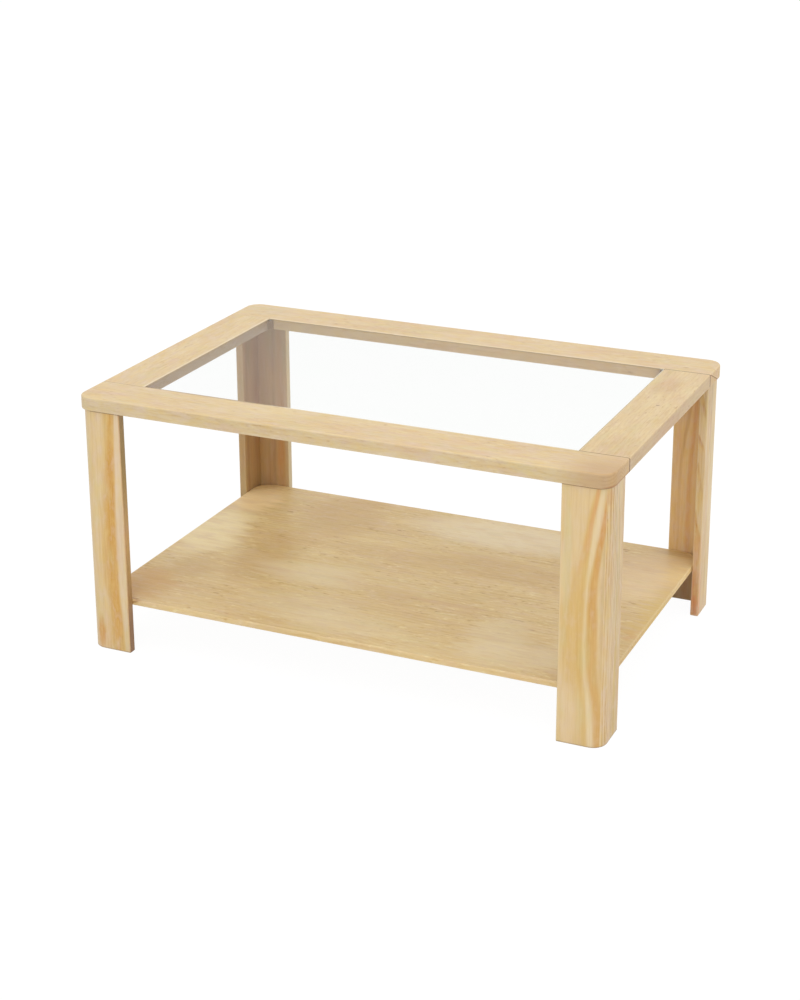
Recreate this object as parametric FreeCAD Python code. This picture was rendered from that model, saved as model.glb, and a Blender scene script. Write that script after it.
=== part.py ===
import math
import os

import FreeCAD
import Part

# Coffee table: a glazed top frame on four L-shaped legs, with a thin shelf low between the legs.
# Millimetres. X runs along the table to the right, Y to the back, Z up.
# The origin is on the floor under the middle of the table.

# Overall
TOP_LENGTH = 900.0
TOP_WIDTH = 595.0
TABLE_HEIGHT = 440.0

# Top frame
RAIL_THICKNESS = 22.5
LONG_RAIL_WIDTH = 82.0
SIDE_RAIL_WIDTH = 78.5
FRAME_CORNER_RADIUS = 25.0
TOP_EDGE_RADIUS = 3.0
BOTTOM_EDGE_RADIUS = 1.5
ARRIS_EASE = 0.6

# Glass, and the corner blocks and clear pads that carry it
GLASS_THICKNESS = 5.0
GLASS_CORNER_RADIUS = 2.0
GLASS_EDGE_EASE = 0.5
GLASS_SIDE_CLEARANCE = 0.6
GLASS_SEAT_CLEARANCE = 0.3
PAD_RADIUS = 2.0
PAD_THICKNESS = 0.7
SUPPORT_LEG = 8.0
SUPPORT_TIP = 1.5
SUPPORT_HEIGHT = 16.0
SUPPORT_PEG_DIAMETER = 4.0
SUPPORT_PEG_LENGTH = 10.0

# Legs
LEG_BOARD_THICKNESS = 14.0
LEG_FACE_WIDTH = 74.0
LEG_SIDE_WIDTH = 72.0
LEG_CORNER_RADIUS = 23.0
LEG_EDGE_RADIUS = 2.0
LEG_FOOT_EASE = 0.8
LEG_INSET_FRONT = 4.5
LEG_INSET_END = 3.5

# Shelf
SHELF_THICKNESS = 10.5
SHELF_TOP_HEIGHT = 91.5
SHELF_CORNER_RADIUS = 35.0
SHELF_EDGE_RADIUS = 1.5
SHELF_CLEARANCE = 0.5

# Joinery
SPLINE_THICKNESS = 3.0
SPLINE_WIDTH = 10.0
SPLINE_END_MARGIN = 20.0
LEG_DOWEL_DIAMETER = 8.0
LEG_DOWEL_UP = 13.0
LEG_DOWEL_DOWN = 24.0
LEG_DOWEL_EDGE = 15.0
LEG_DOWEL_FROM_CORNER = 26.0
RAIL_DOWEL_DIAMETER = 8.0
RAIL_DOWEL_LENGTH = 50.0
RAIL_DOWEL_PITCH = 36.0
SHELF_DOWEL_DIAMETER = 5.0
SHELF_DOWEL_INTO_SHELF = 20.0
SHELF_DOWEL_INTO_LEG = 9.0
SHELF_DOWEL_EDGE = 9.0
SHELF_DOWEL_PITCH = 15.0
JOINERY_CLEARANCE = 0.1

# Places that follow from the sizes above
HALF_LENGTH = TOP_LENGTH / 2
HALF_WIDTH = TOP_WIDTH / 2
FRAME_UNDERSIDE = TABLE_HEIGHT - RAIL_THICKNESS
OPENING_X = HALF_LENGTH - SIDE_RAIL_WIDTH
OPENING_Y = HALF_WIDTH - LONG_RAIL_WIDTH
GLASS_UNDERSIDE = TABLE_HEIGHT - GLASS_THICKNESS
SUPPORT_TOP = GLASS_UNDERSIDE - GLASS_SEAT_CLEARANCE - PAD_THICKNESS
SUPPORT_UNDERSIDE = SUPPORT_TOP - SUPPORT_HEIGHT
LEG_OUTER_X = HALF_LENGTH - LEG_INSET_END
LEG_OUTER_Y = HALF_WIDTH - LEG_INSET_FRONT
SHELF_X = LEG_OUTER_X - LEG_BOARD_THICKNESS - SHELF_CLEARANCE
SHELF_Y = LEG_OUTER_Y - LEG_BOARD_THICKNESS - SHELF_CLEARANCE
SHELF_UNDERSIDE = SHELF_TOP_HEIGHT - SHELF_THICKNESS
SHELF_MIDDLE = SHELF_TOP_HEIGHT - SHELF_THICKNESS / 2

# Name and sides of each corner: sign of X, sign of Y
CORNERS = {
    "front_left": (-1, -1),
    "front_right": (1, -1),
    "back_left": (-1, 1),
    "back_right": (1, 1),
}


def vec(x, y, z=0.0):
    return FreeCAD.Vector(x, y, z)


def box(low, high):
    """Box between two opposite corners, given in any order."""
    size = [abs(b - a) for a, b in zip(low, high)]
    start = [min(a, b) for a, b in zip(low, high)]
    return Part.makeBox(size[0], size[1], size[2], vec(start[0], start[1], start[2]))


def rod(start, end, radius):
    """Round rod between two points."""
    axis = vec(*end).sub(vec(*start))
    return Part.makeCylinder(radius, axis.Length, vec(*start), axis)


def dowel(start, end, diameter):
    """Round dowel with both ends chamfered, like a bought dowel pin."""
    pin = rod(start, end, diameter / 2)
    return pin.makeChamfer(diameter / 8, [e for e in pin.Edges if isinstance(e.Curve, Part.Circle)])


def dowel_hole(start, end, diameter):
    """Hole for a dowel, wider all round and deeper at both ends by the joinery clearance."""
    direction = vec(*end).sub(vec(*start)).normalize()
    extra = direction.multiply(JOINERY_CLEARANCE)
    low = vec(*start).sub(extra)
    high = vec(*end).add(extra)
    return rod(tuple(low), tuple(high), diameter / 2 + JOINERY_CLEARANCE)


def prism(edges, low, high):
    """Upright solid over a closed plan outline."""
    face = Part.Face(Part.Wire(Part.__sortEdges__(edges)))
    face.translate(vec(0, 0, low))
    return face.extrude(vec(0, 0, high - low))


def line(a, b):
    return Part.makeLine(vec(*a), vec(*b))


def arc_about(centre, radius, start_degrees, end_degrees):
    """Plan arc about a centre, through the angle half way between its ends."""
    points = []
    for angle in (start_degrees, (start_degrees + end_degrees) / 2, end_degrees):
        turn = math.radians(angle)
        points.append(vec(centre[0] + radius * math.cos(turn), centre[1] + radius * math.sin(turn)))
    return Part.Arc(*points).toShape()


def rounded_rectangle(half_x, half_y, radius, low, high):
    """Upright plate centred on the origin with four rounded plan corners."""
    x, y, r = half_x, half_y, radius
    edges = [
        line((-x + r, -y), (x - r, -y)),
        arc_about((x - r, -y + r), r, -90, 0),
        line((x, -y + r), (x, y - r)),
        arc_about((x - r, y - r), r, 0, 90),
        line((x - r, y), (-x + r, y)),
        arc_about((-x + r, y - r), r, 90, 180),
        line((-x, y - r), (-x, -y + r)),
        arc_about((-x + r, -y + r), r, 180, 270),
    ]
    return prism(edges, low, high)


def edges_at_height(solid, height, keep):
    """Level edges of a solid at one height whose middle point passes a test."""
    found = []
    for edge in solid.Edges:
        bounds = edge.BoundBox
        level = abs(bounds.ZMin - height) < 0.01 and abs(bounds.ZMax - height) < 0.01
        if level and keep(edge.CenterOfMass):
            found.append(edge)
    return found


def edges_on_line(solid, keep):
    """Straight upright edges of a solid whose middle point passes a test."""
    return [e for e in solid.Edges if e.BoundBox.XLength < 0.01 and e.BoundBox.YLength < 0.01
            and e.Length > 1.0 and keep(e.CenterOfMass)]


def leg_dowel_places(sign_x, sign_y):
    """Plan centres of the dowels in the top ends of one leg: two in each board."""
    middle = LEG_BOARD_THICKNESS / 2
    along_face = (LEG_DOWEL_FROM_CORNER, LEG_FACE_WIDTH - LEG_DOWEL_EDGE)
    along_side = (LEG_DOWEL_FROM_CORNER, LEG_SIDE_WIDTH - LEG_DOWEL_EDGE)
    places = [(sign_x * (LEG_OUTER_X - a), sign_y * (LEG_OUTER_Y - middle)) for a in along_face]
    places += [(sign_x * (LEG_OUTER_X - middle), sign_y * (LEG_OUTER_Y - a)) for a in along_side]
    return places


def leg_dowel_ends(place):
    x, y = place
    return (x, y, FRAME_UNDERSIDE - LEG_DOWEL_DOWN), (x, y, FRAME_UNDERSIDE + LEG_DOWEL_UP)


def rail_dowel_ends(sign_x, sign_y):
    """Ends of the two dowels that cross one butt joint of the top frame."""
    middle_x = HALF_LENGTH - SIDE_RAIL_WIDTH / 2
    middle_z = TABLE_HEIGHT - RAIL_THICKNESS / 2
    ends = []
    for step in (-0.5, 0.5):
        x = sign_x * (middle_x + step * RAIL_DOWEL_PITCH)
        low_y = sign_y * (OPENING_Y - RAIL_DOWEL_LENGTH / 2)
        high_y = sign_y * (OPENING_Y + RAIL_DOWEL_LENGTH / 2)
        ends.append(((x, low_y, middle_z), (x, high_y, middle_z)))
    return ends


def shelf_edge_setback(x):
    """How far the shelf's rounded corner lies back from its long edge at a given X."""
    into_corner = abs(x) - (SHELF_X - SHELF_CORNER_RADIUS)
    if into_corner <= 0:
        return 0.0
    return SHELF_CORNER_RADIUS - math.sqrt(SHELF_CORNER_RADIUS ** 2 - into_corner ** 2)


def shelf_dowel_ends(sign_x, sign_y):
    """Ends of the two dowels that carry one corner of the shelf in the leg's face board."""
    inner_y = LEG_OUTER_Y - LEG_BOARD_THICKNESS
    ends = []
    for step in (0, 1):
        along = LEG_FACE_WIDTH - SHELF_DOWEL_EDGE - step * SHELF_DOWEL_PITCH
        x = sign_x * (LEG_OUTER_X - along)
        far_y = sign_y * (inner_y - SHELF_CLEARANCE - shelf_edge_setback(x) - SHELF_DOWEL_INTO_SHELF)
        ends.append(((x, far_y, SHELF_MIDDLE), (x, sign_y * (inner_y + SHELF_DOWEL_INTO_LEG), SHELF_MIDDLE)))
    return ends


def support_peg_ends(sign_x, sign_y):
    """Ends of the peg that holds one corner block in the long rail."""
    x = sign_x * (OPENING_X - SUPPORT_LEG / 2)
    z = (SUPPORT_TOP + SUPPORT_UNDERSIDE) / 2
    return (x, sign_y * OPENING_Y, z), (x, sign_y * (OPENING_Y + SUPPORT_PEG_LENGTH), z)


def drill(solid, ends, diameter):
    for start, end in ends:
        solid = solid.cut(dowel_hole(start, end, diameter))
    return solid


def long_rail(sign_y):
    """Front or back rail: full length, rounded at its two outer corners."""
    x, r = HALF_LENGTH, FRAME_CORNER_RADIUS
    outer, inner = -HALF_WIDTH, -OPENING_Y
    edges = [
        line((-x + r, outer), (x - r, outer)),
        arc_about((x - r, outer + r), r, -90, 0),
        line((x, outer + r), (x, inner)),
        line((x, inner), (-x, inner)),
        line((-x, inner), (-x, outer + r)),
        arc_about((-x + r, outer + r), r, 180, 270),
    ]
    rail = prism(edges, FRAME_UNDERSIDE, TABLE_HEIGHT)
    rail = rail.makeFillet(TOP_EDGE_RADIUS, edges_at_height(rail, TABLE_HEIGHT, lambda p: p.y < inner - 1))
    rail = rail.makeFillet(BOTTOM_EDGE_RADIUS, edges_at_height(rail, FRAME_UNDERSIDE, lambda p: p.y < inner - 1))
    at_inner = lambda p: abs(p.y - inner) < 0.01
    arrises = edges_at_height(rail, TABLE_HEIGHT, at_inner) + edges_at_height(rail, FRAME_UNDERSIDE, at_inner)
    arrises += edges_on_line(rail, lambda p: at_inner(p) and abs(abs(p.x) - x) < 0.01)
    rail = rail.makeChamfer(ARRIS_EASE, arrises)
    if sign_y > 0:
        rail = rail.mirror(vec(0, 0, 0), vec(0, 1, 0))
    for sign_x in (-1, 1):
        rail = drill(rail, rail_dowel_ends(sign_x, sign_y), RAIL_DOWEL_DIAMETER)
        rail = drill(rail, [support_peg_ends(sign_x, sign_y)], SUPPORT_PEG_DIAMETER)
        ends = [leg_dowel_ends(p) for p in leg_dowel_places(sign_x, sign_y)]
        rail = drill(rail, ends, LEG_DOWEL_DIAMETER)
    return rail


def side_rail(sign_x):
    """Left or right rail, butted between the long rails."""
    outer = sign_x * HALF_LENGTH
    inner = sign_x * OPENING_X
    rail = box((inner, -OPENING_Y, FRAME_UNDERSIDE), (outer, OPENING_Y, TABLE_HEIGHT))
    at_outer = lambda p: abs(p.x - outer) < 0.01
    rail = rail.makeFillet(TOP_EDGE_RADIUS, edges_at_height(rail, TABLE_HEIGHT, at_outer))
    rail = rail.makeFillet(BOTTOM_EDGE_RADIUS, edges_at_height(rail, FRAME_UNDERSIDE, at_outer))
    at_seam = lambda p: abs(abs(p.y) - OPENING_Y) < 0.01
    at_inner = lambda p: abs(p.x - inner) < 0.01
    arrises = edges_at_height(rail, TABLE_HEIGHT, lambda p: at_seam(p) or at_inner(p))
    arrises += edges_at_height(rail, FRAME_UNDERSIDE, at_inner)
    arrises += edges_on_line(rail, at_outer)
    rail = rail.makeChamfer(ARRIS_EASE, arrises)
    for sign_y in (-1, 1):
        rail = drill(rail, rail_dowel_ends(sign_x, sign_y), RAIL_DOWEL_DIAMETER)
    return rail


def glass_pane():
    half_x = OPENING_X - GLASS_SIDE_CLEARANCE
    half_y = OPENING_Y - GLASS_SIDE_CLEARANCE
    pane = rounded_rectangle(half_x, half_y, GLASS_CORNER_RADIUS, GLASS_UNDERSIDE, TABLE_HEIGHT)
    rim = [e for z in (GLASS_UNDERSIDE, TABLE_HEIGHT) for e in edges_at_height(pane, z, lambda p: True)]
    return pane.makeChamfer(GLASS_EDGE_EASE, rim)


def leg_board_outline(width):
    """Plan of a mitred leg board in the corner frame: leg corner at 0, 0, board along X."""
    r, t = LEG_CORNER_RADIUS, LEG_BOARD_THICKNESS
    middle = r * (1 - math.sqrt(0.5))
    return [
        line((middle, middle), (t, t)),
        line((t, t), (width, t)),
        line((width, t), (width, 0)),
        line((width, 0), (r, 0)),
        arc_about((r, r), r, 270, 225),
    ]


def place_in_corner(solid, sign_x, sign_y, corner=(LEG_OUTER_X, LEG_OUTER_Y)):
    """Move a solid from the corner frame to one of the four corners at the given distances."""
    if sign_x > 0:
        solid = solid.mirror(vec(0, 0, 0), vec(1, 0, 0))
    if sign_y > 0:
        solid = solid.mirror(vec(0, 0, 0), vec(0, 1, 0))
    solid.translate(vec(sign_x * corner[0], sign_y * corner[1], 0))
    return solid


def swap_xy(solid):
    """Mirror a solid across the mitre plane of the corner frame."""
    return solid.mirror(vec(0, 0, 0), vec(1, -1, 0))


def glass_support(sign_x, sign_y):
    """Three-cornered block in one corner of the opening, with a peg into the long rail."""
    a, b = SUPPORT_LEG, SUPPORT_TIP
    corners = [(0, 0), (a, 0), (a, b), (b, a), (0, a)]
    outline = [line(corners[i - 1], corners[i]) for i in range(len(corners))]
    block = prism(outline, SUPPORT_UNDERSIDE, SUPPORT_TOP)
    block = place_in_corner(block, sign_x, sign_y, (OPENING_X, OPENING_Y))
    start, end = support_peg_ends(sign_x, sign_y)
    root = (start[0], start[1] - sign_y * SUPPORT_TIP / 2, start[2])
    return block.fuse(rod(root, end, SUPPORT_PEG_DIAMETER / 2)).removeSplitter()


def glass_bumper(sign_x, sign_y):
    """Clear pad on top of one corner block, as far from its long side as from the two rails."""
    inset = (SUPPORT_LEG + SUPPORT_TIP) / (2 + math.sqrt(2))
    x, y = sign_x * (OPENING_X - inset), sign_y * (OPENING_Y - inset)
    return rod((x, y, SUPPORT_TOP), (x, y, SUPPORT_TOP + PAD_THICKNESS), PAD_RADIUS)


def spline_bar(clearance):
    """Loose tongue across the mitre, near its inner end, in the corner frame."""
    t = LEG_BOARD_THICKNESS
    outer = LEG_CORNER_RADIUS * (1 - math.sqrt(0.5))
    centre = t - (t - outer) / 3
    half_width = SPLINE_WIDTH / 2 + clearance
    half_thick = SPLINE_THICKNESS / 2 + clearance
    low = SPLINE_END_MARGIN - clearance
    high = FRAME_UNDERSIDE - LEG_DOWEL_DOWN - SPLINE_END_MARGIN + clearance
    bar = box((-half_width, -half_thick, low), (half_width, half_thick, high))
    bar.rotate(vec(0, 0, 0), vec(0, 0, 1), -45)
    bar.translate(vec(centre, centre, 0))
    return bar


def leg_board(width):
    """One leg board in the corner frame, before its dowel holes."""
    board = prism(leg_board_outline(width), 0.0, FRAME_UNDERSIDE)
    board = board.makeFillet(LEG_EDGE_RADIUS, edges_on_line(board, lambda p: abs(p.x - width) < 0.01))
    off_mitre = lambda p: abs(p.x - p.y) > 0.5
    board = board.makeChamfer(LEG_FOOT_EASE, edges_at_height(board, 0.0, off_mitre))
    return board.cut(spline_bar(JOINERY_CLEARANCE))


def leg_boards(sign_x, sign_y):
    """Face board and side board of one leg, drilled for their dowels."""
    face = place_in_corner(leg_board(LEG_FACE_WIDTH), sign_x, sign_y)
    side = place_in_corner(swap_xy(leg_board(LEG_SIDE_WIDTH)), sign_x, sign_y)
    places = leg_dowel_places(sign_x, sign_y)
    face = drill(face, [leg_dowel_ends(p) for p in places[:2]], LEG_DOWEL_DIAMETER)
    side = drill(side, [leg_dowel_ends(p) for p in places[2:]], LEG_DOWEL_DIAMETER)
    face = drill(face, shelf_dowel_ends(sign_x, sign_y), SHELF_DOWEL_DIAMETER)
    return face, side


def shelf():
    panel = rounded_rectangle(SHELF_X, SHELF_Y, SHELF_CORNER_RADIUS, SHELF_UNDERSIDE, SHELF_TOP_HEIGHT)
    rim = [e for z in (SHELF_UNDERSIDE, SHELF_TOP_HEIGHT) for e in edges_at_height(panel, z, lambda p: True)]
    panel = panel.makeFillet(SHELF_EDGE_RADIUS, rim)
    for signs in CORNERS.values():
        panel = drill(panel, shelf_dowel_ends(*signs), SHELF_DOWEL_DIAMETER)
    return panel


def model():
    """Every node of the table: its name and its solids."""
    nodes = {
        "front_rail": [long_rail(-1)],
        "back_rail": [long_rail(1)],
        "left_rail": [side_rail(-1)],
        "right_rail": [side_rail(1)],
        "glass_pane": [glass_pane()],
        "glass_supports": [],
        "glass_bumpers": [],
        "shelf": [shelf()],
        "leg_splines": [],
        "leg_dowels": [],
        "rail_dowels": [],
        "shelf_dowels": [],
    }
    for corner, (sign_x, sign_y) in CORNERS.items():
        face, side = leg_boards(sign_x, sign_y)
        nodes[corner + "_leg_face"] = [face]
        nodes[corner + "_leg_side"] = [side]
        nodes["glass_supports"].append(glass_support(sign_x, sign_y))
        nodes["glass_bumpers"].append(glass_bumper(sign_x, sign_y))
        nodes["leg_splines"].append(place_in_corner(spline_bar(0.0), sign_x, sign_y))
        for place in leg_dowel_places(sign_x, sign_y):
            nodes["leg_dowels"].append(dowel(*leg_dowel_ends(place), LEG_DOWEL_DIAMETER))
        for ends in rail_dowel_ends(sign_x, sign_y):
            nodes["rail_dowels"].append(dowel(*ends, RAIL_DOWEL_DIAMETER))
        for ends in shelf_dowel_ends(sign_x, sign_y):
            nodes["shelf_dowels"].append(dowel(*ends, SHELF_DOWEL_DIAMETER))
    return nodes


os.makedirs("parts", exist_ok=True)
for name, solids in model().items():
    shape = solids[0] if len(solids) == 1 else Part.makeCompound(solids)
    shape.exportStep("parts/" + name + ".step")
    print(name, len(solids), "solids", round(shape.Volume / 1000.0, 2), "cm3", shape.isValid())
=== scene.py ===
import math

import bpy
from mathutils import Matrix, Vector


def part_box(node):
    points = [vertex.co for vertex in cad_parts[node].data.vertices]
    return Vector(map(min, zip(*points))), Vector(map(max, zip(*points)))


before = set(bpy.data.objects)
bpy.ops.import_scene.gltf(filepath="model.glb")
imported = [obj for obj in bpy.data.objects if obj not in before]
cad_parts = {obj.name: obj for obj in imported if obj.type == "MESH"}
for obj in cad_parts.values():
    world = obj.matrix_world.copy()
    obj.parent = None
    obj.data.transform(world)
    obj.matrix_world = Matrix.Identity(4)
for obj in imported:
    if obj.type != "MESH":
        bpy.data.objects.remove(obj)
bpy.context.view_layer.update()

MM = 0.001
X, Y, Z = 0, 1, 2

# Light levels: a matt white surface that faces up renders a little under white.
SKY_LEVEL = 0.62
OVERHEAD_LEVEL = 0.38
OVERHEAD_SLOPE = 0.2
OVERHEAD_SPREAD = 75.0
FRONT_POWER = 12.0
SIDE_POWER = 7.0

# The floor and the backdrop look white to the camera. The floor keeps FLOOR_SHADE of its shading, and
# glows by what that lacks under the light FLOOR_DUSK. Open floor gets more light than that, so it is
# plain white and only the table's shadow shows. FLOOR_TONE is its tone for the light it throws back.
FLOOR_SHADE = 0.06
FLOOR_DUSK = 0.60
FLOOR_TONE = 0.78
FLOOR_REACH = 9.0

# The pane mirrors GLASS_SHINE of what bare glass does, and GLASS_SHADOW of the light passes through.
GLASS_IOR = 1.5
GLASS_SHINE = 0.5
GLASS_SHADOW = (0.88, 0.89, 0.88, 1.0)
# Where the pane's ground edge turns from a warm tone, painted to stand for the shaded wood seen through
# it, to pale, in m from the table's middle: along the front, but for its left part, and at the right end.
PALE_TOWARDS_FRONT = (-0.10, -0.20)
PALE_TOWARDS_RIGHT = (-0.16, -0.10)
PALE_RIGHT_END = (0.362, 0.365)

# The photograph's view, for an image of 800 by 1000.
FOCAL_PIXELS = 1946.782
CENTRE_PIXEL = (429.225, 377.122)
CAMERA_PLACE = Vector((1.2411, -2.7753, 1.4284))
CAMERA_YAW = math.radians(23.449)
CAMERA_PITCH = math.radians(17.988)
CAMERA_ROLL = math.radians(0.08)
IMAGE_WIDTH, IMAGE_HEIGHT = 800, 1000
SENSOR = 36.0


def linear(red, green, blue):
    """A display colour, 0 to 255, as linear RGBA."""
    def one(value):
        value /= 255
        return value / 12.92 if value <= 0.04045 else ((value + 0.055) / 1.055) ** 2.4
    return (one(red), one(green), one(blue), 1.0)


def tint(*shares):
    """A multiplying colour."""
    return tuple(shares) + (1.0,)


class Graph:
    """Short ways to add and join shader nodes."""

    def __init__(self, tree):
        self.tree = tree
        tree.nodes.clear()

    def node(self, kind, inputs=None, **settings):
        made = self.tree.nodes.new(kind)
        for key, value in settings.items():
            setattr(made, key, value)
        for key, value in (inputs or {}).items():
            self.feed(made.inputs[key], value)
        return made

    def feed(self, socket, value):
        if isinstance(value, bpy.types.NodeSocket):
            self.tree.links.new(value, socket)
        else:
            socket.default_value = value

    def fill(self, made, *values):
        """Feeds a node's first inputs, and gives its first output."""
        for socket, value in zip(made.inputs, values):
            self.feed(socket, value)
        return made.outputs[0]

    def math(self, operation, first, second=0.0):
        return self.fill(self.node("ShaderNodeMath", operation=operation), first, second)

    def add(self, first, second):
        return self.math("ADD", first, second)

    def minus(self, first, second):
        return self.math("SUBTRACT", first, second)

    def times(self, first, second):
        return self.math("MULTIPLY", first, second)

    def most(self, first, second):
        return self.math("MAXIMUM", first, second)

    def least(self, first, second):
        return self.math("MINIMUM", first, second)

    def size(self, value):
        return self.math("ABSOLUTE", value)

    def square(self, value):
        return self.math("POWER", value, 2.0)

    def gap(self, first, second):
        """How far apart two values are."""
        return self.size(self.minus(first, second))

    def total(self, *values):
        result = values[0]
        for value in values[1:]:
            result = self.add(result, value)
        return result

    def vector(self, x, y, z):
        return self.fill(self.node("ShaderNodeCombineXYZ"), x, y, z)

    def split(self, vector):
        """A vector's X, Y and Z."""
        made = self.node("ShaderNodeSeparateXYZ")
        self.feed(made.inputs[0], vector)
        return list(made.outputs)

    def noise(self, place, seed, scale=1.0, detail=2.0, roughness=0.5):
        """Noise from about 0 to 1 with a mean of a half."""
        inputs = {"Vector": place, "W": seed, "Scale": scale, "Detail": detail, "Roughness": roughness}
        return self.node("ShaderNodeTexNoise", inputs, noise_dimensions="4D").outputs[0]

    def swing(self, noise, size):
        """Noise about a half as a value about zero."""
        return self.times(self.minus(noise, 0.5), size)

    def spread(self, value, low, high, new_low=0.0, new_high=1.0, kind="LINEAR"):
        """A value that runs from new_low to new_high while the given one runs from low to high."""
        made = self.node("ShaderNodeMapRange", interpolation_type=kind)
        return self.fill(made, value, low, high, new_low, new_high)

    def ease(self, value, low, high, new_low=0.0, new_high=1.0):
        """The same as spread, with a soft start and a soft end."""
        return self.spread(value, low, high, new_low, new_high, kind="SMOOTHSTEP")

    def ramp(self, value, stops, kind="EASE"):
        """Stops are (place from 0 to 1, number or colour)."""
        made = self.node("ShaderNodeValToRGB")
        ramp = made.color_ramp
        ramp.interpolation = kind
        while len(ramp.elements) > 1:
            ramp.elements.remove(ramp.elements[-1])
        for index, (place, tone) in enumerate(stops):
            element = ramp.elements[0] if index == 0 else ramp.elements.new(place)
            element.position = place
            element.color = tone if isinstance(tone, tuple) else (tone, tone, tone, 1.0)
        return self.fill(made, value)

    def curve(self, value, points):
        """A smooth curve through points whose places and heights are from 0 to 1."""
        made = self.node("ShaderNodeFloatCurve", {"Value": value})
        line = made.mapping.curves[0]
        made.mapping.extend = "HORIZONTAL"
        line.points[0].location = points[0]
        line.points[1].location = points[-1]
        for place in points[1:-1]:
            line.points.new(*place)
        made.mapping.update()
        return made.outputs[0]

    def blend(self, share, first, second, mode="MIX"):
        """Two colours mixed. The node has its colours in sockets 6 and 7, and their mix in output 2."""
        made = self.node("ShaderNodeMix", {0: share, 6: first, 7: second}, data_type="RGBA", blend_type=mode)
        return made.outputs[2]

    def darken(self, share, colour, by):
        return self.blend(share, colour, by, mode="MULTIPLY")

    def bump(self, height, strength, distance):
        inputs = {"Height": height, "Strength": strength, "Distance": distance}
        return self.node("ShaderNodeBump", inputs).outputs[0]

    def shader(self, kind, inputs):
        return self.node("ShaderNode" + kind, inputs).outputs[0]

    def mix(self, share, first, second):
        """Two shaders mixed."""
        return self.fill(self.node("ShaderNodeMixShader"), share, first, second)


def new_material(name):
    made = bpy.data.materials.new(name)
    made.use_nodes = True
    graph = Graph(made.node_tree)
    output = graph.node("ShaderNodeOutputMaterial")
    return made, graph, output


PINE_TONES = (
    (0.00, linear(226, 203, 158)),
    (0.28, linear(219, 191, 142)),
    (0.52, linear(212, 177, 118)),
    (0.78, linear(206, 159, 92)),
    (1.00, linear(184, 131, 70)),
)
# The hues that the wood drifts to, those of its fibres, that of its worn edges,
# the painted highlight beside the opening, and the painted shade in its seams.
ROSY, GREENISH = linear(216, 178, 142), linear(208, 194, 134)
YELLOWISH, PINKISH = linear(224, 190, 118), linear(222, 196, 174)
LINE_TINT, PALE_FIBRE = tint(0.70, 0.52, 0.32), linear(236, 217, 176)
WORN_TONE, ARRIS_HIGHLIGHT_TONE, SEAM_SHADE_TINT = linear(234, 213, 170), linear(246, 232, 206), tint(0.26, 0.15, 0.08)

# Bands reach this far to both sides of their line. A ring darkens slowly and ends at once.
BAND_REACH = 90.0
RING_PROFILE = ((0.0, 0.0), (0.55, 0.25), (0.86, 1.0), (0.97, 0.15), (1.0, 0.0))

# The relief of the grain is a strength and a height in m. The lacquer is thin and satin.
WOOD_ROUGHNESS = 0.46
WOOD_BUMP = (0.22, 0.00035)
LACQUER = {"Coat Weight": 0.12, "Coat Roughness": 0.30}

# Half the length and half the width of the opening. The seams run outwards from its ends.
OPENING = (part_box("right_rail")[0][X] / MM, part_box("back_rail")[0][Y] / MM)
SEAM_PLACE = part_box("right_rail")[1][Y] / MM


class Board:
    """What the steps of one wooden material share. Lengths are in mm.

    place is where a point lies, normal the way its face looks, and deep how far the point is from the
    middle of the board's depth, which is the axis that is neither grain nor across. end_grain is 1 on
    the faces that cut the fibres, and worn is 1 on the arrises.
    """

    def __init__(self, g, node, grain, across, seed, fibre_length):
        self.g, self.seed = g, seed
        self.grain, self.across, self.depth = grain, across, X + Y + Z - grain - across
        low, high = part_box(node)
        self.low, self.high = [value / MM for value in low], [value / MM for value in high]
        coordinates = g.node("ShaderNodeTexCoord").outputs
        self.place_m, self.normal = coordinates["Object"], g.split(coordinates["Normal"])
        self.place = [g.times(value, 1 / MM) for value in g.split(self.place_m)]
        self.deep = g.minus(self.place[self.depth], self.middle(self.depth))
        self.fine = self.noise(fibre_length, 0.8, 13.0, detail=3.0, roughness=0.6)
        self.medium = self.noise(2 * fibre_length, 2.6, 15.0)
        self.end_grain = g.ease(g.size(self.normal[grain]), 0.55, 0.95)
        self.worn = self.worn_arrises()

    def middle(self, axis):
        return (self.low[axis] + self.high[axis]) / 2

    def drawn_out(self, per_length, per_width):
        """The point in a space that is squeezed along the grain."""
        g = self.g
        return g.vector(g.times(self.place[self.grain], per_length),
                        g.times(self.place[self.across], per_width), g.times(self.deep, per_width))

    def noise(self, length, width, offset, detail=2.0, roughness=0.5):
        """Noise in patches of this length and width. Each offset gives another pattern."""
        place = self.drawn_out(1 / length, 1 / width)
        return self.g.noise(place, self.seed * 7.31 + offset, detail=detail, roughness=roughness)

    def along_grain(self, values):
        """A value that changes along the grain, from (place along, value)."""
        least, most = min(value for _, value in values), max(value for _, value in values)
        if most - least < 1e-6:
            return least
        start, end = self.low[self.grain], self.high[self.grain]
        points = [((place - start) / (end - start), (value - least) / (most - least))
                  for place, value in sorted(values)]
        run = self.g.spread(self.place[self.grain], start, end)
        return self.g.spread(self.g.curve(run, points), 0.0, 1.0, least, most)

    def worn_arrises(self):
        """Handling rounds and pales the arrises: there, the nearest two faces are both close."""
        g = self.g
        sides = []
        for axis in (self.grain, self.across, self.depth):
            half = (self.high[axis] - self.low[axis]) / 2
            sides.append(g.minus(half, g.gap(self.place[axis], self.middle(axis))))
        pairs = [g.most(sides[0], sides[1]), g.most(sides[1], sides[2]), g.most(sides[0], sides[2])]
        arris = g.least(g.least(pairs[0], pairs[1]), pairs[2])
        uneven = g.times(g.noise(self.place_m, self.seed + 5.1, scale=60.0), 2.4)
        return g.ease(arris, g.add(uneven, 0.4), g.add(uneven, 2.2), 1.0, 0.0)


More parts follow.
